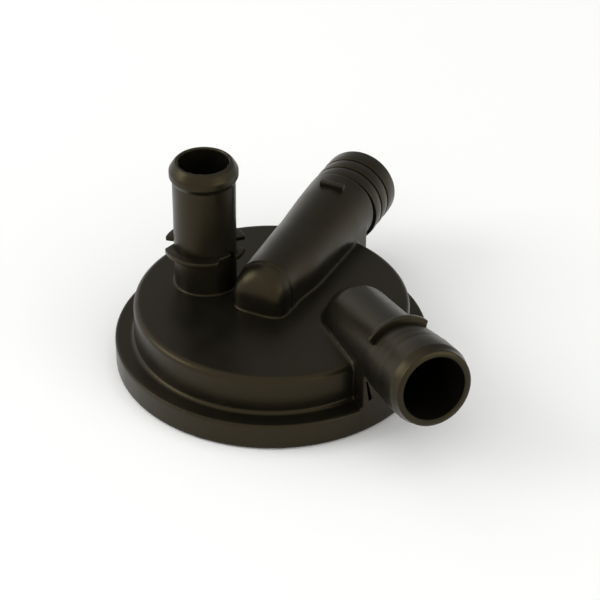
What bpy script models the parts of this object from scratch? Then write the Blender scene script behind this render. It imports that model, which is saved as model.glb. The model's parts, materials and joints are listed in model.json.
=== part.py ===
"""Crankcase ventilation valve: a moulded housing with three hose spigots over a spring-loaded diaphragm.

Metres, +Z up. The origin is the centre of the cover's underside. The outlet lies along +Y over the
housing's centre, the narrow inlet stands up on the -X side, and the wide inlet leaves to +X and -Y.
Oil vapour enters by the two inlets, passes between the valve plate and the seat tube under the
outlet's knee, and leaves by the outlet. Suction lifts the plate against its spring and throttles the way.
"""

import bmesh
import bpy
from math import acos, cos, pi, radians, sin, tan
from mathutils import Matrix, Vector

# Fits: the gap between two pieces that touch on the real valve, and the distance at which points weld
GAP = 0.0003
WELD_DISTANCE = 0.000001

# Round body and flange of the housing
FLANGE_R = 0.0480
FLANGE_TOP = 0.0087
FLANGE_LEDGE_W = 0.0060
DECK_TOP = 0.0208
DECK_FILLET = 0.0019
FOOT_STEP_W = 0.0006
FOOT_STEP_H = 0.0003
WALL = 0.0027
HOUSING_BOTTOM = 0.0004
WELD_WALL = 0.0015

# Cover welded into the housing's underside
COVER_T = 0.0022
COVER_FLOOR_T = 0.0014
COVER_FLOOR_R = 0.0140
COVER_EDGE_CHAMFER = 0.0004
RECESS_DEPTH = 0.0006
RECESS_IN_R = 0.0160
COVER_RIM_W = 0.0072
COVER_RIBS = 6
COVER_RIB_W = 0.0016
COVER_RIB_LIFT = 0.0001
VENT_R = 0.0013

# Diaphragm: a bead clamped in the flange, a rolling web and a flat middle
BEAD_W = 0.0032
BEAD_T = 0.0015
RUBBER_T = 0.0006
ROLL_RISE = 0.0012
ROLL_CLEAR = 0.0010

# Valve plate, its retainer and its travel
PLATE_R = 0.0190
PLATE_T = 0.0012
PLATE_RING_CLEAR = 0.00075
PLATE_RING_W = 0.0010
PLATE_RING_H = 0.0012
PLATE_RIBS = 8
PLATE_RIB_W = 0.0010
PLATE_RIB_H = 0.0007
RETAINER_R = 0.0090
RETAINER_T = 0.0009
STEM_R = 0.0030
STEM_BARB = 0.0007
STEM_HEAD_H = 0.0011
STEM_SLOT_W = 0.0009
TRAVEL = 0.0022

# Spring round the seat tube
SPRING_CLEAR = 0.00235
SPRING_L = 0.0064
WIRE_R = 0.00045
SPRING_TURNS = 4.0
CLOSED_TURN_RISE = 0.0010

# Outlet: a round-ended tube along +Y that grows a little towards its hose bands
OUTLET_LIFT = 0.0020
OUTLET_ROOT_R = 0.0103
OUTLET_TAPER = 0.0233
OUTLET_FLARE = 0.0040
OUTLET_PLAIN_BAND = 0.0018
OUTLET_BAND_R = 0.0125
OUTLET_REACH = 0.0213
OUTLET_BAND = 0.0050
OUTLET_BANDS = 3
OUTLET_GROOVE_W = 0.0010
OUTLET_GROOVE_D = 0.0008
OUTLET_GROOVE_SLOPE = 0.3
OUTLET_MOUTH_CHAMFER = 0.0008
OUTLET_WALL = 0.0025
LUG_BACK = 0.0007
LUG_L = 0.0017
LUG_W = 0.0076
LUG_H = 0.0015
LUG_SHIFT = -0.0005

# Seat tube and the spring's ledge under the outlet's knee
SEAT_BORE_STEP = 0.0004
SEAT_BORE_LAP = 0.0011
SEAT_WALL = 0.0020
LEDGE_CLEAR = 0.00135
LEDGE_T = 0.0016

# Narrow inlet that stands on the deck
UPRIGHT_X = -0.0230
UPRIGHT_R = 0.0095
UPRIGHT_WALL = 0.0019
UPRIGHT_FOOT_W = 0.000675
UPRIGHT_FOOT_H = 0.000675
UPRIGHT_TOP = 0.0627
UPRIGHT_BEAD_H = 0.0009
UPRIGHT_BEAD_L = 0.0062
UPRIGHT_BEVEL_L = 0.0022
UPRIGHT_LIP = 0.0012
UPRIGHT_HOSE_L = 0.0291
COLLAR_T = 0.0016
COLLAR_H = 0.0031
COLLAR_EAR_H = 0.0039
COLLAR_NOTCH_W = 0.0012
COLLAR_FRONT = (radians(219), radians(315))
COLLAR_FRONT_TAPER_TO = radians(342)
COLLAR_TAB = (radians(-8), radians(3))
COLLAR_EAR = (radians(10), radians(31))
COLLAR_BACK_TO = radians(194)

# Wide inlet that leaves over the flange and rises a little
SIDE_X = 0.0290
SIDE_DROP = 0.0004
SIDE_AZIMUTH = radians(-42)
SIDE_RISE = radians(10)
SIDE_R = 0.0109
SIDE_LENGTH = 0.0490
SIDE_WALL = 0.0023
SIDE_MOUTH_WALL = 0.0014
SIDE_BARB_H = 0.0006
SIDE_BARB_STEP = 0.0003
SIDE_BARBS = 3
SIDE_BARB_L = 0.0036
SIDE_NECK_H = 0.0001
SIDE_BEAD_H = 0.0009
SIDE_BEAD_L = 0.0046
SIDE_RIM_W = 0.0012
SIDE_HOSE_L = 0.0220
SIDE_STOP_T = 0.0018
SIDE_STOP_H = 0.0025
SIDE_STOP = (radians(52), radians(149))

# Bosses that carry the two horizontal tubes down to the flange
BOSS_INSET = 0.0001
BOSS_PROUD = 0.00015
BOSS_BOTTOM = 0.0009
BOSS_SIDE_T = 0.0012
POCKET_W = 0.0026
POCKET_DEPTH = 0.0040
POCKET_BOTTOM = 0.0142
POCKET_TOP = 0.0215

# Facets
BODY_STEPS = 64
TUBE_STEPS = 36
DISC_STEPS = 40
VENT_STEPS = 18
BALL_STEPS = 7
FILLET_STEPS = 4
WEB_STEPS = 8
WIRE_SIDES = 8
STEPS_PER_TURN = 20

# Sizes that follow from the ones above
BODY_R = FLANGE_R - FLANGE_LEDGE_W
FOOT_STEP_R = BODY_R + FOOT_STEP_W
CHAMBER_R = BODY_R - WALL
CHAMBER_TOP = DECK_TOP - WALL
GROOVE_TOP = FLANGE_TOP - WALL
BEAD_IN_R = CHAMBER_R + GAP
BEAD_OUT_R = BEAD_IN_R + BEAD_W
BEAD_TOP = GROOVE_TOP - GAP
BEAD_BOTTOM = BEAD_TOP - BEAD_T
COVER_R = FLANGE_R - WELD_WALL - GAP
RECESS_OUT_R = COVER_R - COVER_RIM_W
VENT_AT_R = (RECESS_IN_R + RECESS_OUT_R) / 2
RETAINER_Z = COVER_FLOOR_T + GAP
RUBBER_Z = RETAINER_Z + RETAINER_T + GAP
PLATE_Z = RUBBER_Z + RUBBER_T + GAP
PLATE_TOP = PLATE_Z + PLATE_T
SEAT_Z = PLATE_TOP + TRAVEL + GAP
OUTLET_BORE_ROOT_R = OUTLET_ROOT_R - OUTLET_WALL
OUTLET_BORE_MOUTH_R = OUTLET_BAND_R - OUTLET_WALL
SEAT_BORE_R = OUTLET_BORE_ROOT_R - SEAT_BORE_STEP
SEAT_OUT_R = SEAT_BORE_R + SEAT_WALL
SPRING_R = SEAT_OUT_R + SPRING_CLEAR + WIRE_R
SPRING_BOTTOM = PLATE_TOP + GAP
SPRING_TOP = SPRING_BOTTOM + SPRING_L
LEDGE_Z = SPRING_TOP + GAP
LEDGE_R = SPRING_R + WIRE_R + LEDGE_CLEAR
PLATE_RING_IN_R = SPRING_R + WIRE_R + PLATE_RING_CLEAR
ROLL_START_R = PLATE_R + ROLL_CLEAR
HOLE_R = STEM_R + GAP
OUTLET_Z = DECK_TOP + OUTLET_LIFT
OUTLET_LENGTH = FLANGE_R + OUTLET_REACH
OUTLET_FLARE_AT = OUTLET_LENGTH - OUTLET_BANDS * OUTLET_BAND - OUTLET_PLAIN_BAND - OUTLET_FLARE
LUG_AT = OUTLET_FLARE_AT - LUG_BACK
UPRIGHT_BORE_R = UPRIGHT_R - UPRIGHT_WALL
UPRIGHT_BEAD_R = UPRIGHT_R + UPRIGHT_BEAD_H
COLLAR_Z = UPRIGHT_TOP - UPRIGHT_HOSE_L
COLLAR_R = UPRIGHT_R + COLLAR_H
COLLAR_EAR_R = UPRIGHT_R + COLLAR_EAR_H
SIDE_Z = DECK_TOP - SIDE_DROP
SIDE_BARB_R = SIDE_R + SIDE_BARB_H
SIDE_NECK_R = SIDE_R + SIDE_NECK_H
SIDE_BEAD_R = SIDE_R + SIDE_BEAD_H
SIDE_BORE_ROOT_R = SIDE_R - SIDE_WALL
SIDE_BORE_MOUTH_R = SIDE_R - SIDE_MOUTH_WALL
SIDE_RIM_R = SIDE_BORE_MOUTH_R + SIDE_RIM_W
SIDE_STOP_R = SIDE_R + SIDE_STOP_H
SIDE_STOP_AT = SIDE_LENGTH - SIDE_HOSE_L
HALF_FACET = Matrix.Rotation(pi / TUBE_STEPS, 4, "Z")
SIDE_AXIS = Vector((cos(SIDE_AZIMUTH) * cos(SIDE_RISE), sin(SIDE_AZIMUTH) * cos(SIDE_RISE), sin(SIDE_RISE)))


def clear_scene():
    """Removes whatever the scene holds."""
    for item in list(bpy.data.objects):
        bpy.data.objects.remove(item, do_unlink=True)


def material(name, colour, roughness, metallic=0.0):
    """Returns a Principled material of one colour."""
    made = bpy.data.materials.new(name)
    made.use_nodes = True
    shader = made.node_tree.nodes["Principled BSDF"]
    shader.inputs["Base Color"].default_value = (*colour, 1.0)
    shader.inputs["Roughness"].default_value = roughness
    shader.inputs["Metallic"].default_value = metallic
    return made


def add_object(name, mesh, finish=None, parent=None):
    """Links a new object made of mesh, with round surfaces shaded smooth."""
    item = bpy.data.objects.new(name, mesh)
    bpy.context.scene.collection.objects.link(item)
    mesh.shade_smooth()
    mesh.set_sharp_from_angle(angle=radians(35))
    if finish:
        mesh.materials.append(finish)
    if parent:
        item.parent = parent
    return item


def mesh_from(name, bm):
    """Closes a bmesh: welds its points, turns its faces outwards and returns the mesh."""
    bmesh.ops.remove_doubles(bm, verts=bm.verts, dist=WELD_DISTANCE)
    bmesh.ops.recalc_face_normals(bm, faces=bm.faces)
    mesh = bpy.data.meshes.new(name)
    bm.to_mesh(mesh)
    bm.free()
    return mesh


def turned(name, profile, steps):
    """Spins an outline of (radius, height) points about Z; one that ends on the axis stays open there."""
    bm = bmesh.new()
    points = [bm.verts.new((r, 0.0, z)) for r, z in profile]
    on_axis = profile[0][0] == 0 and profile[-1][0] == 0
    ends = points[1:] if on_axis else points[1:] + points[:1]
    edges = [bm.edges.new(pair) for pair in zip(points, ends)]
    bmesh.ops.spin(bm, geom=points + edges, cent=(0, 0, 0), axis=(0, 0, 1), angle=2 * pi, steps=steps)
    return mesh_from(name, bm)


def block(name, low, high):
    """Returns a box between two corners."""
    bm = bmesh.new()
    bmesh.ops.create_cube(bm, size=1.0)
    size = Vector(high) - Vector(low)
    middle = (Vector(high) + Vector(low)) / 2
    placed = Matrix.Translation(middle) @ Matrix.Diagonal((*size, 1.0))
    bmesh.ops.transform(bm, matrix=placed, verts=bm.verts)
    return mesh_from(name, bm)


def prism(name, outline, bottom, top):
    """Raises a flat outline of (x, y) points from bottom to top."""
    bm = bmesh.new()
    face = bm.faces.new([bm.verts.new((x, y, bottom)) for x, y in outline])
    grown = bmesh.ops.extrude_face_region(bm, geom=[face])
    moved = [v for v in grown["geom"] if isinstance(v, bmesh.types.BMVert)]
    bmesh.ops.translate(bm, verts=moved, vec=(0, 0, top - bottom))
    return mesh_from(name, bm)


def arc(centre, radius, start, end, steps):
    """Points on an arc, both ends included, as (radius, height) or (x, y) pairs."""
    turns = [start + (end - start) * i / steps for i in range(steps + 1)]
    return [(centre[0] + radius * cos(a), centre[1] + radius * sin(a)) for a in turns]


def steps_for(start, end):
    """Number of facets that an arc gets on a tube."""
    return max(2, round(abs(end - start) / (2 * pi) * TUBE_STEPS))


def sector(inner, outer, start, end):
    """Outline of a ring's sector between two angles."""
    steps = steps_for(start, end)
    return arc((0, 0), outer, start, end, steps) + arc((0, 0), inner, end, start, steps)


def guide(name, mesh, matrix=None):
    """Adds a shape that only cuts or joins another one, and stays out of the model."""
    item = add_object(name, mesh)
    item.hide_render = True
    item.display_type = "WIRE"
    if matrix:
        item.matrix_world = matrix
    return item


def combine(item, other, operation):
    """Joins other to item, cuts it away or keeps what both share."""
    step = item.modifiers.new(f"{operation.lower()} {other.name}", "BOOLEAN")
    step.object = other
    step.operation = operation
    step.solver = "EXACT"


def along(start, direction):
    """Matrix that lays a shape's +Z along direction, from start, with its +Y side up."""
    z = direction.normalized()
    x = Vector((0, 0, 1)).cross(z).normalized()
    y = z.cross(x)
    turn = Matrix((x, y, z)).transposed().to_4x4()
    return Matrix.Translation(start) @ turn


def body_outline():
    """Outside of the round body: flange, foot step, wall and rounded deck edge."""
    deck_edge = arc((BODY_R - DECK_FILLET, DECK_TOP - DECK_FILLET), DECK_FILLET, 0, pi / 2, FILLET_STEPS)
    return [(0, HOUSING_BOTTOM), (FLANGE_R, HOUSING_BOTTOM), (FLANGE_R, FLANGE_TOP),
            (FOOT_STEP_R, FLANGE_TOP), (FOOT_STEP_R, FLANGE_TOP + FOOT_STEP_H),
            (BODY_R, FLANGE_TOP + FOOT_STEP_H), *deck_edge, (0, DECK_TOP)]


def chamber_outline():
    """Inside of the round body: weld seat, bead groove, wall and ceiling."""
    weld_seat = COVER_T + GAP
    below = HOUSING_BOTTOM - WALL
    return [(0, below), (COVER_R + GAP, below), (COVER_R + GAP, weld_seat), (BEAD_OUT_R + GAP, weld_seat),
            (BEAD_OUT_R + GAP, GROOVE_TOP), (CHAMBER_R, GROOVE_TOP), (CHAMBER_R, CHAMBER_TOP),
            (0, CHAMBER_TOP)]


def outlet_radius(distance):
    """Outer radius of the plain stretch of the outlet."""
    return OUTLET_ROOT_R + OUTLET_TAPER * distance


def round_end(radius):
    """Quarter circle from the pole of a ball to its equator, the ball's centre at height 0."""
    return [(0, -radius), *arc((0, 0), radius, -pi / 2, 0, BALL_STEPS)[1:-1]]


def outlet_outline():
    """Outside of the outlet: round end, slow taper, flare and grooved hose bands."""
    flare_end = OUTLET_FLARE_AT + OUTLET_FLARE
    points = [*round_end(OUTLET_ROOT_R), (OUTLET_ROOT_R, 0),
              (outlet_radius(OUTLET_FLARE_AT), OUTLET_FLARE_AT), (OUTLET_BAND_R, flare_end)]
    for i in range(OUTLET_BANDS):
        groove = OUTLET_LENGTH - (OUTLET_BANDS - i) * OUTLET_BAND
        deep = OUTLET_BAND_R - OUTLET_GROOVE_D
        slope = OUTLET_GROOVE_W * OUTLET_GROOVE_SLOPE
        points += [(OUTLET_BAND_R, groove), (deep, groove + slope),
                   (deep, groove + OUTLET_GROOVE_W - slope), (OUTLET_BAND_R, groove + OUTLET_GROOVE_W)]
    return points + [(OUTLET_BAND_R, OUTLET_LENGTH - OUTLET_MOUTH_CHAMFER),
                     (OUTLET_BAND_R - OUTLET_MOUTH_CHAMFER, OUTLET_LENGTH), (0, OUTLET_LENGTH)]


def outlet_bore_outline():
    """Inside of the outlet: round end and a slow draft to the mouth."""
    return [*round_end(OUTLET_BORE_ROOT_R), (OUTLET_BORE_ROOT_R, 0),
            (OUTLET_BORE_MOUTH_R, OUTLET_LENGTH), (OUTLET_BORE_MOUTH_R, OUTLET_LENGTH + WALL),
            (0, OUTLET_LENGTH + WALL)]


def seat_tube_outline():
    """Outside of the seat tube with the spring's ledge round it."""
    return [(0, SEAT_Z), (SEAT_OUT_R, SEAT_Z), (SEAT_OUT_R, LEDGE_Z), (LEDGE_R, LEDGE_Z),
            (LEDGE_R, LEDGE_Z + LEDGE_T), (SEAT_OUT_R, LEDGE_Z + LEDGE_T), (SEAT_OUT_R, DECK_TOP),
            (0, DECK_TOP)]


def seat_bore_outline():
    """Inside of the seat tube, from below its mouth into the outlet's knee."""
    knee = OUTLET_Z + SEAT_BORE_LAP
    return [(0, SEAT_Z - WALL), (SEAT_BORE_R, SEAT_Z - WALL), (SEAT_BORE_R, knee), (0, knee)]


def side_outline():
    """Outside of the wide inlet: round end, plain tube, shallow barbs, neck and end bead."""
    start = SIDE_STOP_AT + SIDE_STOP_T / 2
    points = [*round_end(SIDE_R), (SIDE_R, 0), (SIDE_R, start), (SIDE_BARB_R, start)]
    for i in range(1, SIDE_BARBS + 1):
        end = start + i * SIDE_BARB_L
        points += [(SIDE_BARB_R - SIDE_BARB_STEP, end), (SIDE_BARB_R, end + SIDE_BARB_STEP)]
    bead = SIDE_LENGTH - SIDE_BEAD_L
    bulge = arc((SIDE_BEAD_R - SIDE_BEAD_L / 2, SIDE_LENGTH - SIDE_BEAD_L / 2), SIDE_BEAD_L / 2,
                -pi / 4, pi / 4, FILLET_STEPS)
    return points + [(SIDE_NECK_R, bead), *bulge, (SIDE_RIM_R, SIDE_LENGTH), (0, SIDE_LENGTH)]


def side_bore_outline():
    """Inside of the wide inlet: round end and a slow draft to the mouth."""
    return [*round_end(SIDE_BORE_ROOT_R), (SIDE_BORE_ROOT_R, 0), (SIDE_BORE_MOUTH_R, SIDE_LENGTH),
            (SIDE_BORE_MOUTH_R, SIDE_LENGTH + WALL), (0, SIDE_LENGTH + WALL)]


def upright_outline():
    """Outside of the narrow inlet: foot fillet, tube, end bead with a long bevel."""
    bead = UPRIGHT_TOP - UPRIGHT_BEAD_L
    foot_r = UPRIGHT_R + UPRIGHT_FOOT_W
    return [(0, DECK_TOP - WALL / 2), (foot_r, DECK_TOP - WALL / 2),
            (foot_r, DECK_TOP + FOOT_STEP_H), (UPRIGHT_R, DECK_TOP + UPRIGHT_FOOT_H),
            (UPRIGHT_R, bead), (UPRIGHT_BEAD_R, bead + (UPRIGHT_BEAD_R - UPRIGHT_R)),
            (UPRIGHT_BEAD_R, UPRIGHT_TOP - UPRIGHT_BEVEL_L),
            (UPRIGHT_BORE_R + UPRIGHT_LIP, UPRIGHT_TOP), (0, UPRIGHT_TOP)]


def upright_bore_outline():
    """Inside of the narrow inlet, from the chamber's ceiling to above its mouth."""
    low, high = CHAMBER_TOP - WALL, UPRIGHT_TOP + WALL
    return [(0, low), (UPRIGHT_BORE_R, low), (UPRIGHT_BORE_R, high), (0, high)]


def boss(name, start, direction, radius):
    """Block under a tube that fills the way down to the flange, flush with the flange's outer wall."""
    half = radius - BOSS_INSET
    reach = 2 * FLANGE_R
    rise = tan(acos(min(1.0, direction.to_2d().length)))
    flat = Vector((direction.x, direction.y, 0)).normalized()
    turn = Matrix.Rotation(flat.to_2d().angle_signed(Vector((1, 0))), 4, "Z")
    place = Matrix.Translation((start.x, start.y, 0)) @ turn
    bm = bmesh.new()
    outline = [(0, BOSS_BOTTOM), (reach, BOSS_BOTTOM), (reach, start.z + rise * reach), (0, start.z)]
    face = bm.faces.new([bm.verts.new((x, -half, z)) for x, z in outline])
    grown = bmesh.ops.extrude_face_region(bm, geom=[face])
    moved = [v for v in grown["geom"] if isinstance(v, bmesh.types.BMVert)]
    bmesh.ops.translate(bm, verts=moved, vec=(0, 2 * half, 0))
    item = guide(name, mesh_from(name, bm), place)
    rim_r, rim_top = FLANGE_R + BOSS_PROUD, OUTLET_Z + FLANGE_R
    rim = guide(f"{name}_rim", turned(f"{name}_rim", [
        (0, 0), (rim_r, 0), (rim_r, rim_top), (0, rim_top),
    ], BODY_STEPS))
    combine(item, rim, "INTERSECT")
    for side in (-1, 1):
        near = half - BOSS_SIDE_T
        far = near - POCKET_W
        wall = sorted((side * near, side * far))
        face_x = (Vector((FLANGE_R, 0)) - start.to_2d()).length
        along_x = pocket_reach(start, flat)
        pocket = guide(f"{name}_pocket_{side}", block(f"{name}_pocket_{side}",
                       (along_x - POCKET_DEPTH, wall[0], POCKET_BOTTOM),
                       (along_x + face_x, wall[1], POCKET_TOP)), place)
        combine(item, pocket, "DIFFERENCE")
    return item


def pocket_reach(start, flat):
    """Distance from a tube's root to the flange's outer wall, along the tube."""
    lean = start.to_2d().dot(flat.to_2d())
    return -lean + (lean * lean + FLANGE_R ** 2 - start.to_2d().length_squared) ** 0.5


def collar_plates():
    """The interrupted hose stop of the narrow inlet, as one joining shape per plate."""
    bottom, top = COLLAR_Z - COLLAR_T / 2, COLLAR_Z + COLLAR_T / 2
    inside = (UPRIGHT_R + UPRIGHT_BORE_R) / 2
    front = arc((0, 0), COLLAR_R, *COLLAR_FRONT, steps_for(*COLLAR_FRONT))
    front += arc((0, 0), inside, COLLAR_FRONT_TAPER_TO, COLLAR_FRONT[0], steps_for(*COLLAR_FRONT))
    back_from = COLLAR_EAR[1] + COLLAR_NOTCH_W / COLLAR_R
    outlines = {"collar_front": front,
                "collar_tab": sector(inside, COLLAR_EAR_R, *COLLAR_TAB),
                "collar_ear": sector(inside, COLLAR_EAR_R, *COLLAR_EAR),
                "collar_back": sector(inside, COLLAR_R, back_from, COLLAR_BACK_TO)}
    return {name: (outline, bottom, top) for name, outline in outlines.items()}


def make_upper_housing(finish):
    """The one moulding seen from outside, with its three spigots and the seat tube inside."""
    housing = add_object("upper_housing", turned("upper_housing", body_outline(), BODY_STEPS), finish)
    outlet_place = along(Vector((0, 0, OUTLET_Z)), Vector((0, 1, 0)))
    side_root = Vector((SIDE_X, 0, SIDE_Z))
    side_place = along(side_root, SIDE_AXIS)
    upright_place = Matrix.Translation((UPRIGHT_X, 0, 0))

    joined = [guide("outlet_tube", turned("outlet_tube", outlet_outline(), TUBE_STEPS), outlet_place),
              guide("side_tube", turned("side_tube", side_outline(), TUBE_STEPS), side_place),
              guide("upright_tube", turned("upright_tube", upright_outline(), TUBE_STEPS), upright_place)]
    for name, shape in collar_plates().items():
        joined.append(guide(name, prism(name, *shape), upright_place))
    stop = sector(SIDE_R - WALL / 2, SIDE_STOP_R, *SIDE_STOP)
    stop_plate = prism("side_stop", stop, SIDE_STOP_AT, SIDE_STOP_AT + SIDE_STOP_T)
    joined.append(guide("side_stop", stop_plate, side_place))
    lug_low = outlet_radius(LUG_AT) - WALL / 2
    lug = block("outlet_lug", (LUG_SHIFT - LUG_W / 2, LUG_AT, OUTLET_Z + lug_low),
                (LUG_SHIFT + LUG_W / 2, LUG_AT + LUG_L, OUTLET_Z + outlet_radius(LUG_AT) + LUG_H))
    joined.append(guide("outlet_lug", lug))
    joined.append(boss("outlet_boss", Vector((0, 0, OUTLET_Z)), Vector((0, 1, 0)), OUTLET_ROOT_R))
    joined.append(boss("side_boss", side_root, SIDE_AXIS, SIDE_R))
    for shape in joined:
        combine(housing, shape, "UNION")

    hollow = guide("hollow", turned("hollow", chamber_outline(), BODY_STEPS))
    seat = guide("seat_tube", turned("seat_tube", seat_tube_outline(), TUBE_STEPS))
    combine(hollow, joined[0], "DIFFERENCE")
    combine(hollow, seat, "DIFFERENCE")
    for name, outline, place in (("seat_bore", seat_bore_outline(), Matrix.Identity(4)),
                                 ("outlet_bore", outlet_bore_outline(), outlet_place),
                                 ("upright_bore", upright_bore_outline(), upright_place),
                                 ("side_bore", side_bore_outline(), side_place)):
        combine(hollow, guide(name, turned(name, outline, TUBE_STEPS), place @ HALF_FACET), "UNION")
    combine(housing, hollow, "DIFFERENCE")
    return housing


def make_lower_cover(finish):
    """Welded bottom: rim, recess with flush ribs below, clamping ring and stop floor above."""
    ring_in = BEAD_IN_R + GAP
    outline = [(0, 0), (RECESS_IN_R, 0), (RECESS_IN_R, RECESS_DEPTH), (RECESS_OUT_R, RECESS_DEPTH),
               (RECESS_OUT_R, 0), (COVER_R - COVER_EDGE_CHAMFER, 0), (COVER_R, COVER_EDGE_CHAMFER),
               (COVER_R, COVER_T), (BEAD_OUT_R, COVER_T), (BEAD_OUT_R, BEAD_BOTTOM - GAP),
               (ring_in, BEAD_BOTTOM - GAP), (ring_in, COVER_T), (COVER_FLOOR_R, COVER_T),
               (COVER_FLOOR_R, COVER_FLOOR_T), (0, COVER_FLOOR_T)]
    cover = add_object("lower_cover", turned("lower_cover", outline, BODY_STEPS), finish)
    for i in range(COVER_RIBS):
        name = f"cover_rib_{i}"
        rib = block(name, (RECESS_IN_R - WALL / 2, -COVER_RIB_W / 2, COVER_RIB_LIFT),
                    (RECESS_OUT_R + WALL / 2, COVER_RIB_W / 2, (RECESS_DEPTH + COVER_T) / 2))
        turn = Matrix.Rotation(2 * pi * i / COVER_RIBS, 4, "Z")
        combine(cover, guide(name, rib, turn), "UNION")
    vent = turned("vent_hole", [(0, -WALL), (VENT_R, -WALL), (VENT_R, COVER_T + WALL), (0, COVER_T + WALL)],
                  VENT_STEPS)
    combine(cover, guide("vent_hole", vent, Matrix.Translation((0, -VENT_AT_R, 0))), "DIFFERENCE")
    return cover


def web_height(radius):
    """Middle of the rubber at a radius: flat in the middle, then one soft roll up to the bead."""
    flat = RUBBER_Z + RUBBER_T / 2
    rim = (BEAD_TOP + BEAD_BOTTOM) / 2
    t = min(1.0, max(0.0, (radius - ROLL_START_R) / (BEAD_IN_R - ROLL_START_R)))
    smooth = t * t * (3 - 2 * t)
    return flat + (rim - flat) * smooth + ROLL_RISE * sin(pi * t) ** 2


def make_diaphragm(finish):
    """Rubber diaphragm: flat middle with a hole, rolling web and square bead."""
    radii = [HOLE_R + GAP, ROLL_START_R]
    radii += [ROLL_START_R + (BEAD_IN_R - ROLL_START_R) * i / WEB_STEPS for i in range(1, WEB_STEPS + 1)]
    lower = [(r, web_height(r) - RUBBER_T / 2) for r in radii]
    upper = [(r, web_height(r) + RUBBER_T / 2) for r in reversed(radii)]
    bead = [(BEAD_IN_R, BEAD_BOTTOM), (BEAD_OUT_R, BEAD_BOTTOM),
            (BEAD_OUT_R, BEAD_TOP), (BEAD_IN_R, BEAD_TOP)]
    return add_object("diaphragm", turned("diaphragm", lower + bead + upper, DISC_STEPS), finish)


def make_diaphragm_plate(finish, parent):
    """Stiff plate above the rubber: it closes on the seat and carries the spring."""
    ring_out = PLATE_RING_IN_R + PLATE_RING_W
    outline = [(HOLE_R, PLATE_Z), (PLATE_R, PLATE_Z), (PLATE_R, PLATE_TOP), (ring_out, PLATE_TOP),
               (ring_out, PLATE_TOP + PLATE_RING_H), (PLATE_RING_IN_R, PLATE_TOP + PLATE_RING_H),
               (PLATE_RING_IN_R, PLATE_TOP), (HOLE_R, PLATE_TOP)]
    plate = add_object("diaphragm_plate", turned("diaphragm_plate", outline, DISC_STEPS), finish, parent)
    for i in range(PLATE_RIBS):
        name = f"plate_rib_{i}"
        rib = block(name, (ring_out - PLATE_RING_W / 2, -PLATE_RIB_W / 2, PLATE_TOP - PLATE_T / 2),
                    (PLATE_R - PLATE_RIB_W, PLATE_RIB_W / 2, PLATE_TOP + PLATE_RIB_H))
        combine(plate, guide(name, rib, Matrix.Rotation(2 * pi * i / PLATE_RIBS, 4, "Z")), "UNION")
    return plate


def make_plate_retainer(finish, parent):
    """Button below the rubber whose split stem snaps up through the rubber and the plate."""
    head = PLATE_TOP + GAP
    tip = head + STEM_HEAD_H
    barb_r = STEM_R + STEM_BARB
    outline = [(0, RETAINER_Z), (RETAINER_R, RETAINER_Z), (RETAINER_R, RETAINER_Z + RETAINER_T),
               (STEM_R, RETAINER_Z + RETAINER_T), (STEM_R, head), (barb_r, head),
               (barb_r, head + STEM_HEAD_H / 3), (STEM_R - STEM_BARB, tip), (0, tip)]
    retainer = add_object("plate_retainer", turned("plate_retainer", outline, TUBE_STEPS), finish, parent)
    for i, turn in enumerate((0, pi / 2)):
        name = f"stem_slot_{i}"
        slot = block(name, (-2 * barb_r, -STEM_SLOT_W / 2, RUBBER_Z + GAP),
                     (2 * barb_r, STEM_SLOT_W / 2, tip + GAP))
        combine(retainer, guide(name, slot, Matrix.Rotation(turn, 4, "Z")), "DIFFERENCE")
    return retainer


def spring_rise(turn):
    """Height of the wire's middle after a number of turns: slow over the closed end turns."""
    low, high = SPRING_BOTTOM + WIRE_R, SPRING_TOP - WIRE_R
    pitch = (high - low - 2 * CLOSED_TURN_RISE) / (SPRING_TURNS - 2)
    if turn < 1:
        return low + CLOSED_TURN_RISE * turn
    if turn > SPRING_TURNS - 1:
        return high - CLOSED_TURN_RISE * (SPRING_TURNS - turn)
    return low + CLOSED_TURN_RISE + pitch * (turn - 1)


def make_spring(finish):
    """Compression spring: round wire carried along its helix, closed by a face at each end."""
    bm = bmesh.new()
    rings = []
    count = round(SPRING_TURNS * STEPS_PER_TURN)
    for i in range(count + 1):
        turn = SPRING_TURNS * i / count
        angle = 2 * pi * turn
        out = Vector((cos(angle), sin(angle), 0))
        middle = out * SPRING_R + Vector((0, 0, spring_rise(turn)))
        section = [middle + WIRE_R * (cos(a) * out + sin(a) * Vector((0, 0, 1)))
                   for a in (2 * pi * (k + 0.5) / WIRE_SIDES for k in range(WIRE_SIDES))]
        rings.append([bm.verts.new(p) for p in section])
    for a, b in zip(rings, rings[1:]):
        for k in range(WIRE_SIDES):
            n = (k + 1) % WIRE_SIDES
            bm.faces.new((a[k], b[k], b[n], a[n]))
    bm.faces.new(rings[0])
    bm.faces.new(reversed(rings[-1]))
    return add_object("spring", mesh_from("spring", bm), finish)


def main():
    clear_scene()
    nylon = material("black_nylon", (0.022, 0.020, 0.017), 0.42)
    rubber = material("diaphragm_rubber", (0.030, 0.030, 0.032), 0.75)
    acetal = material("natural_acetal", (0.78, 0.76, 0.70), 0.40)
    steel = material("spring_steel", (0.56, 0.56, 0.55), 0.30, metallic=1.0)

    valve_axis = bpy.data.objects.new("valve_axis", None)
    bpy.context.scene.collection.objects.link(valve_axis)

    make_upper_housing(nylon)
    make_lower_cover(nylon)
    make_diaphragm(rubber)
    make_diaphragm_plate(acetal, valve_axis)
    make_plate_retainer(acetal, valve_axis)
    make_spring(steel)


main()
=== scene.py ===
# %% [markdown]
# A crankcase ventilation valve, dressed for a studio photograph.
# The real thing is one moulding of black glass-filled nylon with three hose spigots, welded to a flat cover.
# Inside are a rubber diaphragm, a plate, its retainer and a spring.
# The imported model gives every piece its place. This script only adds the finish and the fine forms.

import json
from math import atan2, cos, pi, radians, sin, tan

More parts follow.
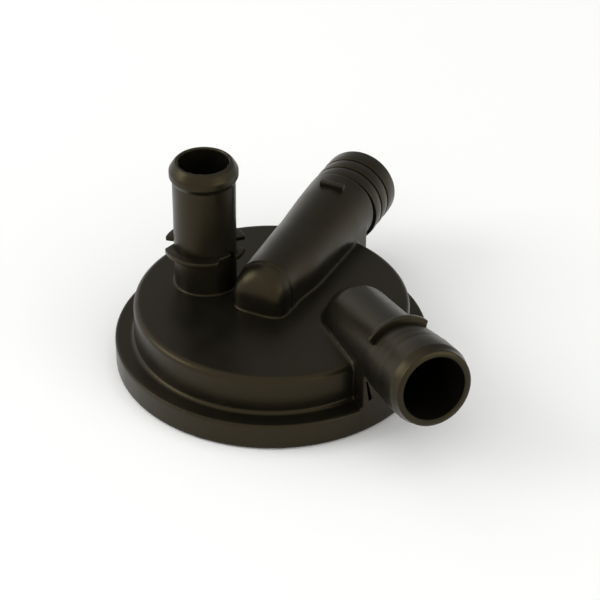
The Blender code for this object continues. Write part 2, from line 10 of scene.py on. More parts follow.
import bmesh
import bpy
import numpy as np
from mathutils import Matrix, Vector


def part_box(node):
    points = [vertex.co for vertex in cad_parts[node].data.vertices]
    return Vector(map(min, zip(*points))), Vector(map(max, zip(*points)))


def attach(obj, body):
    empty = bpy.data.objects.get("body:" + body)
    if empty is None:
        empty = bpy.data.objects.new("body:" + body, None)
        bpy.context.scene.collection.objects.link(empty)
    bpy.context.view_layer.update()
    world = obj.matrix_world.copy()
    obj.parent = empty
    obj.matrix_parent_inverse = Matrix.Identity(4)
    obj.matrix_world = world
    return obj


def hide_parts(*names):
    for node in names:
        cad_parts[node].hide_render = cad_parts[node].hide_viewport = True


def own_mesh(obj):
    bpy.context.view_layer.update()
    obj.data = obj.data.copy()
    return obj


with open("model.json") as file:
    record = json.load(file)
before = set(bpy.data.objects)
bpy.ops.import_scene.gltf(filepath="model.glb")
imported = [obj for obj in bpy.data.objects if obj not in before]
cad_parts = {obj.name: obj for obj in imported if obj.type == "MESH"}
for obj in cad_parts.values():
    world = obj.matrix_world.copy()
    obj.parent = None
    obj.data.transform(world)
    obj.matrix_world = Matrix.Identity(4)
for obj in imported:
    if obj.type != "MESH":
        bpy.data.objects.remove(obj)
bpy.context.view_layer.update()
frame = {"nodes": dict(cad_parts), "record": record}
nodes = frame["nodes"]
mounts = {mount["name"]: mount for mount in frame["record"]["mounts"]}
print("nodes:", ", ".join(sorted(nodes)))
print("mounts:", ", ".join(sorted(mounts)))

# %% [markdown]
# The overall sizes come from the frame, so the looks follow the model.
# The rest are the moulding's own sizes, in millimetres turned to metres, as the tool maker would list them.

# %% Sizes of the moulding
MM = 0.001
housing_low, housing_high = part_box("upper_housing")
FLANGE_R = -housing_low.x
FLANGE_BOTTOM = housing_low.z
UPRIGHT_TOP = housing_high.z
OUTLET_END = housing_high.y
cover_low, cover_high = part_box("lower_cover")
COVER_R = cover_high.x

FLANGE_TOP = 8.7 * MM
BODY_R = FLANGE_R - 6.0 * MM
DECK_Z = 20.8 * MM
DECK_EDGE_R = 1.9 * MM
WALL = 2.7 * MM
GAP = 0.3 * MM

OUTLET_Z = DECK_Z + 2.4 * MM
OUTLET_R = 9.78 * MM
OUTLET_TAPER = 0.044
OUTLET_TUBE_R = 10.3 * MM
OUTLET_BAND_R = 12.5 * MM
OUTLET_BAND_L = 5.2 * MM
OUTLET_GROOVE_AT = OUTLET_END - 17.6 * MM

SIDE_ROOT = Vector((29.0 * MM, 0, DECK_Z - 0.4 * MM))
SIDE_AXIS = Vector(mounts["side_mouth"]["axis"]).normalized()
SIDE_R = 10.9 * MM
SIDE_L = 49.0 * MM
SIDE_STOP_AT = SIDE_L - 22.0 * MM

UPRIGHT_X = -22.4 * MM
UPRIGHT_R = 9.5 * MM
COLLAR_Z = UPRIGHT_TOP - 29.1 * MM
print(f"flange {FLANGE_R / MM:.1f} mm in radius, outlet ends at {OUTLET_END / MM:.1f} mm")

# %% [markdown]
# The camera stands where the photographer stood: well above the deck, a quarter turn off the outlet.
# A long lens keeps the ellipses of the flange and the mouths flat, as they are in the photograph.

# %% Camera
LENS = 107.6
SENSOR = 36.0
FRAME_PX = 600
FOCAL_PX = LENS / SENSOR * FRAME_PX
VIEW_TURN = radians(24)
VIEW_DROP = radians(34.56)
VIEW_ROLL = radians(-0.77)
VIEW_DISTANCE = 11.6 * FLANGE_R
ORIGIN_PX = (271.7, 351.9)


def aim_camera():
    """Places the camera so that the model's origin falls on its pixel of the photograph."""
    back = Vector((0, -cos(VIEW_DROP), sin(VIEW_DROP)))
    level_up = Vector((0, sin(VIEW_DROP), cos(VIEW_DROP)))
    level_right = Vector((1, 0, 0))
    right = cos(VIEW_ROLL) * level_right - sin(VIEW_ROLL) * level_up
    up = sin(VIEW_ROLL) * level_right + cos(VIEW_ROLL) * level_up
    metres_per_px = VIEW_DISTANCE / FOCAL_PX
    aside = (ORIGIN_PX[0] - FRAME_PX / 2) * metres_per_px
    above = (ORIGIN_PX[1] - FRAME_PX / 2) * metres_per_px
    place = Matrix((right, up, back)).transposed().to_4x4()
    place.translation = back * VIEW_DISTANCE - right * aside + up * above
    lens = bpy.data.cameras.new("camera")
    lens.lens = LENS
    lens.sensor_width = SENSOR
    camera = bpy.data.objects.new("camera", lens)
    bpy.context.scene.collection.objects.link(camera)
    camera.matrix_world = Matrix.Rotation(VIEW_TURN, 4, "Z") @ place
    bpy.context.scene.camera = camera
    return camera


camera = aim_camera()
print("camera at", [round(c, 3) for c in camera.matrix_world.translation])

# %% [markdown]
# Outlines are polylines of (radius, height) points turned about an axis, as on a lathe.
# A moulded corner is never sharp, so one helper rounds each corner with an arc.
# Each point may carry its own corner radius.

# %% Outline helpers
ARC_STEP = radians(12)


def rounded(points):
    """Rounds each (x, y, radius) corner with an arc, and keeps it where its radius is 0."""
    outline = []
    for i, (x, y, radius) in enumerate(points):
        if radius == 0 or i in (0, len(points) - 1):
            outline.append((x, y))
            continue
        here = Vector((x, y))
        before = Vector(points[i - 1][:2]) - here
        after = Vector(points[i + 1][:2]) - here
        half = before.angle(after) / 2
        reach = min(radius / tan(half), before.length * 0.49, after.length * 0.49)
        radius = reach * tan(half)
        middle = here + (before.normalized() + after.normalized()).normalized() * radius / sin(half)
        first = here + before.normalized() * reach - middle
        turn = first.angle_signed(here + after.normalized() * reach - middle)
        steps = max(2, round(abs(turn) / ARC_STEP))
        for k in range(steps + 1):
            spoke = Matrix.Rotation(-turn * k / steps, 2) @ first
            outline.append(tuple(middle + spoke))
    return outline


def ball_end(radius, steps=24):
    """Quarter circle from a ball's pole to its equator, with the ball's centre at height 0."""
    return [(radius * sin(pi / 2 * k / steps), -radius * cos(pi / 2 * k / steps), 0) for k in range(steps)]


print("a square corner of 1 mm becomes", len(rounded([(0, 0, 0), (1, 0, 0.3), (1, 1, 0)])), "points")

# %% [markdown]
# Solids are turned, raised from a flat outline, or plain blocks.
# They are tools: the ones that make up the moulding are joined into one skin further on, so each is closed.

# %% Solid helpers
ROUND = 160
WELD = 0.002 * MM


def finish_mesh(name, bm):
    """Welds a bmesh, turns its faces outwards and returns an object that holds it."""
    bmesh.ops.remove_doubles(bm, verts=bm.verts, dist=WELD)
    bmesh.ops.recalc_face_normals(bm, faces=bm.faces)
    mesh = bpy.data.meshes.new(name)
    bm.to_mesh(mesh)
    bm.free()
    piece = bpy.data.objects.new(name, mesh)
    bpy.context.scene.collection.objects.link(piece)
    return piece


def turned(name, outline, place=None, steps=ROUND):
    """Turns an outline about Z into a closed solid."""
    bm = bmesh.new()
    points = [bm.verts.new((x, 0, y)) for x, y in outline]
    on_axis = outline[0][0] == 0 and outline[-1][0] == 0
    ends = points[1:] if on_axis else points[1:] + points[:1]
    edges = [bm.edges.new(pair) for pair in zip(points, ends)]
    bmesh.ops.spin(bm, geom=points + edges, cent=(0, 0, 0), axis=(0, 0, 1), angle=2 * pi, steps=steps)
    piece = finish_mesh(name, bm)
    piece.matrix_world = place or Matrix.Identity(4)
    return piece


def raised(name, outline, bottom, top, place=None):
    """Raises a flat outline of (x, y) points from bottom to top."""
    bm = bmesh.new()
    face = bm.faces.new([bm.verts.new((x, y, bottom)) for x, y in outline])
    grown = bmesh.ops.extrude_face_region(bm, geom=[face])
    moved = [v for v in grown["geom"] if isinstance(v, bmesh.types.BMVert)]
    bmesh.ops.translate(bm, verts=moved, vec=(0, 0, top - bottom))
    piece = finish_mesh(name, bm)
    piece.matrix_world = place or Matrix.Identity(4)
    return piece


def settle(piece):
    """Turns a piece's modifiers and place into its own mesh, which then sits at the origin."""
    graph = bpy.context.evaluated_depsgraph_get()
    mesh = bpy.data.meshes.new_from_object(piece.evaluated_get(graph))
    mesh.transform(piece.matrix_world)
    piece.modifiers.clear()
    piece.data = mesh
    piece.matrix_world = Matrix.Identity(4)
    return piece


def work(piece, tools, operation):
    """Joins tools to a piece or cuts them out of it, and clears them away."""
    for tool in tools:
        step = piece.modifiers.new(tool.name, "BOOLEAN")
        step.object = tool
        step.operation = operation
        step.solver = "MANIFOLD"
    settle(piece)
    for tool in tools:
        bpy.data.objects.remove(tool)
    return piece


def soft_edges(piece, width, segments=3):
    """Gives a small plate the rounded edges that a mould leaves."""
    bevel = piece.modifiers.new("soft_edges", "BEVEL")
    bevel.width = width
    bevel.segments = segments
    bevel.limit_method = "ANGLE"
    return settle(piece)


def along(start, direction):
    """Matrix that lays +Z along a direction, with +Y on the upper side."""
    z = direction.normalized()
    x = Vector((0, 0, 1)).cross(z).normalized()
    turn = Matrix((x, z.cross(x), z)).transposed().to_4x4()
    return Matrix.Translation(start) @ turn


OUTLET_PLACE = along(Vector((0, 0, OUTLET_Z)), Vector((0, 1, 0)))
SIDE_PLACE = along(SIDE_ROOT, SIDE_AXIS)
UPRIGHT_PLACE = Matrix.Translation((UPRIGHT_X, 0, 0))
print("the wide inlet rises", round(90 - SIDE_AXIS.angle(Vector((0, 0, 1))) * 180 / pi, 1), "degrees")

# %% [markdown]
# The wide inlet flows into the deck with a soft fillet, because nylon fills a mould badly
# at a sharp inner corner.
# The simplest way to such a form is the sculptor's: overlap plain solids, fuse them with a voxel remesh,
# and smooth the points near the inner corner until a fillet of the right size is left.

# %% Body of the moulding
VOXEL = 0.34 * MM
BOSS_INSET = 0.1 * MM
BOSS_PROUD = 0.15 * MM
BOSS_BOTTOM = 0.9 * MM


def body_solid():
    """Flange, wall and deck as one turned solid."""
    return turned("body", rounded([
        (0, FLANGE_BOTTOM, 0), (FLANGE_R, FLANGE_BOTTOM, 0.3 * MM), (FLANGE_R, FLANGE_TOP, 0.5 * MM),
        (BODY_R + 0.6 * MM, FLANGE_TOP, 0), (BODY_R + 0.6 * MM, FLANGE_TOP + 0.3 * MM, 0),
        (BODY_R, FLANGE_TOP + 0.3 * MM, 0), (BODY_R, DECK_Z, DECK_EDGE_R), (0, DECK_Z, 0)]))


def outlet_core():
    """Round tube that carries the outlet's bore through the chamber."""
    end = OUTLET_GROOVE_AT
    outline = [*ball_end(OUTLET_TUBE_R), (OUTLET_TUBE_R, 0, 0), (OUTLET_TUBE_R, end, 0), (0, end, 0)]
    return turned("outlet_core", rounded(outline), OUTLET_PLACE)


RIDGE_HEIGHT = 4.7 * MM
RIDGE_DROP = 0.045
KNEE_AT = -3.0 * MM
KNEE_LENGTH = 7.6 * MM
KNEE_SQUARE = 3.8
KNEE_ROUNDING = 1.8
KNEE_STEP = 0.25 * MM
PINCH = 1.35 * MM
PINCH_LENGTH = 13.0 * MM
TUBE_RISES = (20 * MM, 40 * MM)
TUBE_SINK = 0.5 * MM
TUBE_END_GAP = 0.4 * MM


def outlet_half(distance, right=True):
    """Half width of the outlet's ridge. Its right flank is pinched towards the knee."""
    share = min(max(1 - distance / PINCH_LENGTH, 0), 1)
    pinch = PINCH * share * share * (3 - 2 * share) if right else 0
    return OUTLET_R + OUTLET_TAPER * distance - pinch


def ridge_point(distance, turn):
    """Point on the ridge's round top. The turn runs from 0 on the right over the top to 180 degrees."""
    half = outlet_half(distance, cos(turn) > 0)
    height = DECK_Z + RIDGE_HEIGHT - RIDGE_DROP * distance + outlet_half(distance, False) * sin(turn)
    return half * cos(turn), distance, height


def knee_point(around, turn):
    """Point on the squared dome that closes the ridge."""
    power = KNEE_SQUARE - KNEE_ROUNDING * sin(turn)
    reach = (abs(cos(around)) ** power + abs(sin(around)) ** power) ** (-1 / power) * cos(turn)
    half = outlet_half(KNEE_AT, cos(around) > 0) - KNEE_STEP
    rise = outlet_half(KNEE_AT, False) - KNEE_STEP
    return (half * reach * cos(around), KNEE_AT - KNEE_LENGTH * reach * sin(around),
            DECK_Z + RIDGE_HEIGHT - RIDGE_DROP * KNEE_AT + rise * sin(turn))


def ridge_solid():
    """The outlet as it stands on the deck: a round top on upright walls that run down to the flange."""
    far = OUTLET_GROOVE_AT - 1.5 * MM
    stations = [far - (far - KNEE_AT) * k / 30 for k in range(31)]
    turns = [pi / 2 * k / 18 for k in range(19)]
    around = [pi * k / 48 for k in range(49)]
    rows = []
    for turn in turns:
        row = [ridge_point(y, turn) for y in stations] + [knee_point(a, turn) for a in around]
        rows.append(row + [ridge_point(y, pi - turn) for y in reversed(stations)])
    rows.insert(0, [(x, y, BOSS_BOTTOM) for x, y, z in rows[0]])
    bm = bmesh.new()
    grid = [[bm.verts.new(point) for point in row] for row in rows]
    for low, high in zip(grid, grid[1:]):
        for k in range(len(low) - 1):
            bm.faces.new((low[k], low[k + 1], high[k + 1], high[k]))
    bm.faces.new(grid[0])
    bm.faces.new([row[0] for row in grid] + [row[-1] for row in reversed(grid[:-1])])
    ridge = finish_mesh("ridge", bm)
    rim_r = FLANGE_R + BOSS_PROUD
    rim = turned("rim", [(0, 0), (rim_r, 0), (rim_r, 2 * FLANGE_R), (0, 2 * FLANGE_R)])
    return work(ridge, [rim], "INTERSECT")


def outlet_tube():
    """Round stretch of the outlet beyond the deck. It comes out of the ridge slowly, so that no ring shows."""
    near, middle = TUBE_RISES
    far = OUTLET_GROOVE_AT - TUBE_END_GAP
    tube = turned("outlet_tube", [
        (0, near), (outlet_half(near) - TUBE_SINK, near), (outlet_half(middle), middle), (outlet_half(far), far),
        (0, far)])
    lean = Matrix.Identity(4)
    lean[2][1] = -RIDGE_DROP
    tube.matrix_world = lean @ along(Vector((0, 0, DECK_Z + RIDGE_HEIGHT)), Vector((0, 1, 0)))
    return tube


def side_solid():
    """Plain stretch of the wide inlet with its round end."""
    end = SIDE_STOP_AT + 1.2 * MM
    outline = [*ball_end(SIDE_R), (SIDE_R, 0, 0), (SIDE_R, end, 0), (0, end, 0)]
    return turned("side", rounded(outline), SIDE_PLACE)


def foot_solid():
    """Foot of the standing inlet."""
    return turned("foot", rounded([(0, DECK_Z - WALL, 0), (UPRIGHT_R, DECK_Z - WALL, 0),
                                   (UPRIGHT_R, DECK_Z + 4 * MM, 0), (0, DECK_Z + 4 * MM, 0)]), UPRIGHT_PLACE)


def boss_solid(name, start, direction, radius):
    """Block that carries a tube down to the flange, flush with the flange's outer wall."""
    half = radius - BOSS_INSET
    flat = Vector((direction.x, direction.y, 0)).normalized()
    rise = direction.z / direction.xy.length
    place = Matrix.Translation((start.x, start.y, 0)) @ Matrix.Rotation(atan2(flat.y, flat.x), 4, "Z")
    reach = 2 * FLANGE_R
    bm = bmesh.new()
    outline = [(0, BOSS_BOTTOM), (reach, BOSS_BOTTOM), (reach, start.z + rise * reach), (0, start.z)]
    face = bm.faces.new([bm.verts.new((x, -half, z)) for x, z in outline])
    grown = bmesh.ops.extrude_face_region(bm, geom=[face])
    moved = [v for v in grown["geom"] if isinstance(v, bmesh.types.BMVert)]
    bmesh.ops.translate(bm, verts=moved, vec=(0, 2 * half, 0))
    boss = finish_mesh(name, bm)
    boss.matrix_world = place
    rim_r = FLANGE_R + BOSS_PROUD
    rim = turned("rim", [(0, 0), (rim_r, 0), (rim_r, 2 * FLANGE_R), (0, 2 * FLANGE_R)])
    return work(boss, [rim], "INTERSECT")


def fused(name, solids):
    """Fuses overlapping solids into one skin of even small faces."""
    for solid in solids:
        settle(solid)
    with bpy.context.temp_override(active_object=solids[0], selected_editable_objects=solids):
        bpy.ops.object.join()
    skin = solids[0]
    skin.name = name
    remesh = skin.modifiers.new("fuse", "REMESH")
    remesh.mode = "VOXEL"
    remesh.voxel_size = VOXEL
    return settle(skin)


skin = fused("housing_skin", [
    body_solid(), ridge_solid(), outlet_tube(), side_solid(), foot_solid(),
    boss_solid("side_boss", SIDE_ROOT, SIDE_AXIS, SIDE_R)])
print("fused skin:", len(skin.data.polygons), "faces")

# %% [markdown]
# A fillet is grown by smoothing only the points that lie near two faces at once.
# The distance to a plane or to a round-ended tube is a one-line formula, so the weights are exact
# and need no painting. More rounds of smoothing give a wider fillet.

# %% Fillet of the wide inlet
def tube_distance(points, root, axis, radius):
    """Distance of points from the surface of a round-ended tube."""
    offset = points - np.array(root)
    height = np.maximum(offset @ np.array(axis), 0)
    return np.linalg.norm(offset - height[:, None] * np.array(axis), axis=1) - radius


def corner_weight(first, second, reach):
    """1 on the line where two faces meet, fading to 0 at reach."""
    share = np.clip(1 - np.maximum(np.abs(first), np.abs(second)) / reach, 0, 1)
    return share * share * (3 - 2 * share)


def smoothed(mesh, weight, rounds):
    """Moves each point towards the middle of its neighbours, by its weight, a number of times."""
    points = np.empty(len(mesh.vertices) * 3)
    mesh.vertices.foreach_get("co", points)
    points = points.reshape(-1, 3)
    pairs = np.empty(len(mesh.edges) * 2, int)
    mesh.edges.foreach_get("vertices", pairs)
    a, b = pairs[0::2], pairs[1::2]
    count = len(points)
    links = np.bincount(a, minlength=count) + np.bincount(b, minlength=count)
    for _ in range(rounds):
        for axis in range(3):
            values = points[:, axis]
            total = np.bincount(a, values[b], count) + np.bincount(b, values[a], count)
            points[:, axis] = values + weight * 0.5 * (total / links - values)
    mesh.vertices.foreach_set("co", points.ravel())
    mesh.update()
    return points


def positions(mesh):
    """All points of a mesh as an array."""
    points = np.empty(len(mesh.vertices) * 3)
    mesh.vertices.foreach_get("co", points)
    return points.reshape(-1, 3)


SIDE_FILLET = (2.6 * MM, 16)


def grow_fillets(mesh):
    """One wide fillet where the wide inlet leaves the deck, and the mould's fine rounding elsewhere."""
    points = positions(mesh)
    deck = points[:, 2] - DECK_Z
    side = tube_distance(points, SIDE_ROOT, SIDE_AXIS, SIDE_R)
    reach, rounds = SIDE_FILLET
    smoothed(mesh, 1.0, 2)
    smoothed(mesh, corner_weight(deck, side, reach), rounds)


grow_fillets(skin.data)
print("widest fillet", SIDE_FILLET[0] / MM, "mm")

# %% [markdown]
# The hose ends have crisp turned forms: grooves, shallow barbs and end beads that hold a hose.
# They are spun from outlines at full detail and joined to the fused skin where the plain tube meets
# a natural step, so that no seam shows.

# %% Hose end of the outlet
GROOVE_W = 1.0 * MM
GROOVE_D = 0.75 * MM
BAND_CROWN = 0.12 * MM


def outlet_end():
    """The three crowned bands of the outlet, each behind a groove."""
    edge = 0.25 * MM
    root = OUTLET_GROOVE_AT - 2.0 * MM
    root_r = OUTLET_BAND_R - 1.5 * GROOVE_D
    points = [(0, root, 0), (root_r, root, 0), (root_r, OUTLET_GROOVE_AT + GROOVE_W * 0.8, edge)]
    for i in range(3):
        groove = OUTLET_GROOVE_AT + i * OUTLET_BAND_L
        floor_r = OUTLET_BAND_R - GROOVE_D
        if i:
            points += [(OUTLET_BAND_R, groove, edge), (floor_r, groove + GROOVE_W * 0.2, edge),
                       (floor_r, groove + GROOVE_W * 0.8, edge)]
        points += [(OUTLET_BAND_R, groove + GROOVE_W, edge),
                   (OUTLET_BAND_R + BAND_CROWN, groove + (GROOVE_W + OUTLET_BAND_L) / 2, 8 * MM)]
    points += [(OUTLET_BAND_R, OUTLET_END, 1.0 * MM), (0, OUTLET_END, 0)]
    return turned("outlet_end", rounded(points), OUTLET_PLACE)


# %% Hose end of the wide inlet
BARB_R = SIDE_R + 0.6 * MM
CREST_R = SIDE_R + 1.35 * MM
BARB_STEP = 0.12 * MM
BARB_L = 3.6 * MM
NICK = 0.26 * MM


def side_end():
    """Shallow barbs and rounded end of the wide inlet."""
    start = SIDE_STOP_AT + 0.9 * MM
    root, root_r = start - 2.0 * MM, SIDE_R - 0.1 * MM
    points = [(0, root, 0), (root_r, root, 0), (root_r, start, 0), (BARB_R, start, 0.1 * MM)]
    for i in range(1, 4):
        end = start + i * BARB_L
        below, above = [BARB_R + (CREST_R - BARB_R) * k / 3 for k in (i - 1, i)]
        points += [(below - BARB_STEP, end, 0.04 * MM), (below - BARB_STEP - NICK, end + NICK / 2, 0),
                   (above, end + NICK, 0.08 * MM)]
    points += [(CREST_R, SIDE_L - 3.3 * MM, 1.3 * MM), (SIDE_R + 0.75 * MM, SIDE_L - 1.8 * MM, 1.2 * MM),
               (SIDE_R + 0.5 * MM, SIDE_L - 0.25 * MM, 0.35 * MM), (SIDE_R - 0.4 * MM, SIDE_L, 0.12 * MM),
               (0, SIDE_L, 0)]
    return turned("side_end", rounded(points), SIDE_PLACE)


# %% Standing inlet
UPRIGHT_BEAD_R = UPRIGHT_R + 0.9 * MM


def upright_tube():
    """Standing inlet from its foot to the bevelled end bead."""
    bead = UPRIGHT_TOP - 6.2 * MM
    root, tube_r = DECK_Z + 2.0 * MM, UPRIGHT_R + 0.02 * MM
    points = [(0, root, 0), (tube_r, root, 0), (tube_r, bead, 0.5 * MM),
              (UPRIGHT_BEAD_R, bead + 1.6 * MM, 0.8 * MM), (UPRIGHT_BEAD_R, UPRIGHT_TOP - 2.6 * MM, 1.2 * MM),
              (UPRIGHT_R - 0.3 * MM, UPRIGHT_TOP - 0.7 * MM, 0.25 * MM),
              (UPRIGHT_R - 1.0 * MM, UPRIGHT_TOP, 0.2 * MM), (0, UPRIGHT_TOP, 0)]
    return turned("upright", rounded(points), UPRIGHT_PLACE)


# %% [markdown]
# The collar of the standing inlet is cut into three plates, because the mould opens sideways there.
# The wide inlet has one plate on its upper side, and the outlet a small lug: each stops a hose.

# %% Stops
COLLAR_T = 1.6 * MM
COLLAR_R = UPRIGHT_R + 3.1 * MM
COLLAR_LOW = 1.1 * MM
COLLAR_FRONT = (222, 315, 345)
COLLAR_TAB = (-12, 12)
COLLAR_NECK = (-6, 5)
COLLAR_BACK = (42, 191)
STOP_T = 1.8 * MM
STOP_R = SIDE_R + 2.5 * MM
STOP_SPAN = (50, 140)
STOP_ROOT = (41, 147)
LUG = (8.2 * MM, 1.9 * MM, 3.4 * MM)
LUG_AT = (-0.45 * MM, 14.2 * MM, 43.0 * MM)
PLATE_EDGE = 0.28 * MM


def arc(radius, start, end, step=4):
    """Points on an arc, its angles in degrees."""
    count = max(2, round(abs(end - start) / step))
    turns = [radians(start + (end - start) * k / count) for k in range(count + 1)]
    return [(radius * cos(t), radius * sin(t)) for t in turns]


def ring_part(inner, outer, start, end):
    """Outline of a part of a ring."""
    return arc(outer, start, end) + arc(inner, end, start)


def collar_plates():
    """The three plates of the interrupted collar. The small one has a head on a neck."""
    inner = UPRIGHT_R - 0.8 * MM
    start, bend, end = COLLAR_FRONT
    low_r = UPRIGHT_R + COLLAR_LOW
    front = arc(COLLAR_R, start, bend) + arc(low_r, bend + 6, end) + arc(inner, end, start - 18)
    tab = (arc(COLLAR_R, *COLLAR_TAB) + arc(low_r, COLLAR_TAB[1], COLLAR_NECK[1])
           + arc(inner, *COLLAR_NECK[::-1]) + arc(low_r, COLLAR_NECK[0], COLLAR_TAB[0]))
    back = ring_part(inner, COLLAR_R, *COLLAR_BACK)
    low, high = COLLAR_Z - COLLAR_T / 2, COLLAR_Z + COLLAR_T / 2
    return [soft_edges(raised("collar", outline, low, high, UPRIGHT_PLACE), PLATE_EDGE)
            for outline in (front, tab, back)]


def side_stop():
    """The plate over the wide inlet."""
    outline = arc(STOP_R, *STOP_SPAN) + arc(SIDE_R - 1.3 * MM, *STOP_ROOT[::-1])
    return soft_edges(raised("stop", outline, SIDE_STOP_AT, SIDE_STOP_AT + STOP_T, SIDE_PLACE), PLATE_EDGE)


def outlet_lug():
    """The lug on top of the outlet."""
    width, length, height = LUG
    middle, top, at = LUG_AT
    left, right = middle - width / 2, middle + width / 2
    outline = [(left, top - height), (right, top - height), (right, top), (left, top)]
    return soft_edges(raised("lug", outline, at, at + length, OUTLET_PLACE), PLATE_EDGE)


fittings = [outlet_end(), side_end(), upright_tube(), *collar_plates(), side_stop(), outlet_lug()]
print(len(fittings), "fittings on the skin")
work(skin, fittings, "UNION")

# %% [markdown]
# Where the halves of the mould meet, a hair of nylon is left: the parting line. It stands proud on the tubes
# and reads as a fine cut across the end beads. Flash also clings to the inner edge of the standing mouth.

# %% Parting lines and flash
LINE_W = 0.24 * MM
LINE_H = 0.10 * MM
SEAM_D = 0.2 * MM
SEAM_W = 0.3 * MM
SEAM_SPAN = (62, 158)
POCKET = ((-0.8, 18.6), (-1.4, 18.4), (-3.3, 11.4), (-2.1, 11.0))
POCKET_DEPTH = 4.0 * MM
FLASH_R = 0.34 * MM
FLASH_AT = (8, 51, 97, 128, 171, 214, 243, 268, 291, 333)


def line_along(name, place, radius, angle, start, end, depth):
    """Fine straight bar on a tube, at an angle in degrees round it. It reaches depth below the surface."""
    turn = place @ Matrix.Rotation(radians(angle), 4, "Z")
    outline = [(radius - depth, -LINE_W / 2), (radius + LINE_H, -LINE_W / 6), (radius + LINE_H, LINE_W / 6),
               (radius - depth, LINE_W / 2)]
    return raised(name, outline, start, end, turn)


def parting_lines():
    """Raised lines on the standing and the wide inlet, on both sides of each."""
    low, high = COLLAR_Z + COLLAR_T / 2, UPRIGHT_TOP - 6.4 * MM
    bars = [line_along("line", UPRIGHT_PLACE, UPRIGHT_R, angle, low, high, 0.5 * MM) for angle in (0, 180)]
    near, far = SIDE_STOP_AT + 2.5 * MM, SIDE_L - 4.2 * MM
    radius = BARB_R - BARB_STEP / 2
    bars += [line_along("line", SIDE_PLACE, radius, angle, near, far, 0.8 * MM) for angle in (0, 180)]
    return bars


def knee_seam():
    """Wedge that cuts the fine seam over the knee, where the ridge's top meets the dome."""
    bm = bmesh.new()
    rings = []
    for k in range(33):
        turn = radians(SEAM_SPAN[0] + (SEAM_SPAN[1] - SEAM_SPAN[0]) * k / 32)
        x, y, z = ridge_point(KNEE_AT, turn)
        out = Vector((cos(turn), 0, sin(turn)))
        rings.append([bm.verts.new(Vector((x, y + along_y, z)) + out * up) for along_y, up in (
            (0, -SEAM_D), (-SEAM_W, 3 * SEAM_D), (SEAM_W, 3 * SEAM_D))])
    for a, b in zip(rings, rings[1:]):
        for k in range(3):
            bm.faces.new((a[k], a[k - 1], b[k - 1], b[k]))
    bm.faces.new(rings[0])
    bm.faces.new(rings[-1])
    return finish_mesh("seam", bm)


def pockets():
    """Slanted sink pockets between the wide inlet and its boss, one on each side."""
    flat = Vector((SIDE_AXIS.x, SIDE_AXIS.y, 0)).normalized()
    lean = SIDE_ROOT.xy.dot(flat.xy)
    wall_at = -lean + (lean * lean + FLANGE_R ** 2 - SIDE_ROOT.xy.length_squared) ** 0.5
    stand = Matrix.Translation((SIDE_ROOT.x, SIDE_ROOT.y, 0)) @ Matrix.Rotation(
        atan2(flat.y, flat.x), 4, "Z") @ Matrix(((0, 0, 1, 0), (1, 0, 0, 0), (0, 1, 0, 0), (0, 0, 0, 1)))
    half = SIDE_R - BOSS_INSET
    return [raised("pocket", [(side * (half + aside * MM), height * MM) for aside, height in POCKET],
                   wall_at - POCKET_DEPTH, wall_at + POCKET_DEPTH, stand) for side in (-1, 1)]


def cuts():
    """Fine cuts across the hose ends, the seam over the outlet's knee and the pockets beside the boss."""
    slits = []
    for place, radius, low, high in (
            (UPRIGHT_PLACE, UPRIGHT_BEAD_R, UPRIGHT_TOP - 5.6 * MM, UPRIGHT_TOP + MM),
            (SIDE_PLACE, CREST_R, SIDE_L - 3.6 * MM, SIDE_L + MM)):
        for angle in (0, 180):
            turn = place @ Matrix.Rotation(radians(angle), 4, "Z")
            outline = [(radius - 0.22 * MM, -0.03 * MM), (radius + MM, -0.2 * MM), (radius + MM, 0.2 * MM),
                       (radius - 0.22 * MM, 0.03 * MM)]
            slits.append(raised("slit", outline, low, high, turn))
    return slits + [knee_seam()] + pockets()


def flash():
    """Crumbs of flash round the inner edge of the standing mouth."""
    crumbs = []
    for i, angle in enumerate(FLASH_AT):
        bm = bmesh.new()
        bmesh.ops.create_icosphere(bm, subdivisions=2, radius=FLASH_R * (0.8 + 0.15 * (i % 3)))
        crumb = finish_mesh("crumb", bm)
        reach = UPRIGHT_R - 1.9 * MM + 0.12 * MM
        crumb.matrix_world = UPRIGHT_PLACE @ Matrix.Rotation(radians(angle), 4, "Z") @ Matrix.Translation(
            (reach, 0, UPRIGHT_TOP - 0.28 * MM)) @ Matrix.Diagonal((1, 1.7, 0.8, 1))
        crumbs.append(crumb)
    return crumbs


work(skin, parting_lines(), "UNION")
work(skin, cuts(), "DIFFERENCE")
print("parting lines stand", LINE_H / MM, "mm proud")

# %% [markdown]
# The hollow is cut last: a chamber over the diaphragm, the bore of each tube and the seat tube that hangs
# under the outlet's knee. It is one tool, made from the same outlines as the real core pins of the mould.

# %% Hollow
CHAMBER_R = BODY_R - WALL
CHAMBER_TOP = DECK_Z - WALL
GROOVE_TOP = FLANGE_TOP - WALL
spring_low, spring_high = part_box("spring")
bead_low, bead_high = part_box("diaphragm")
SEAT_Z = 7.5 * MM
SEAT_BORE_R = OUTLET_TUBE_R - 2.9 * MM
LEDGE_Z = spring_high.z + GAP
LEDGE_R = 14.0 * MM


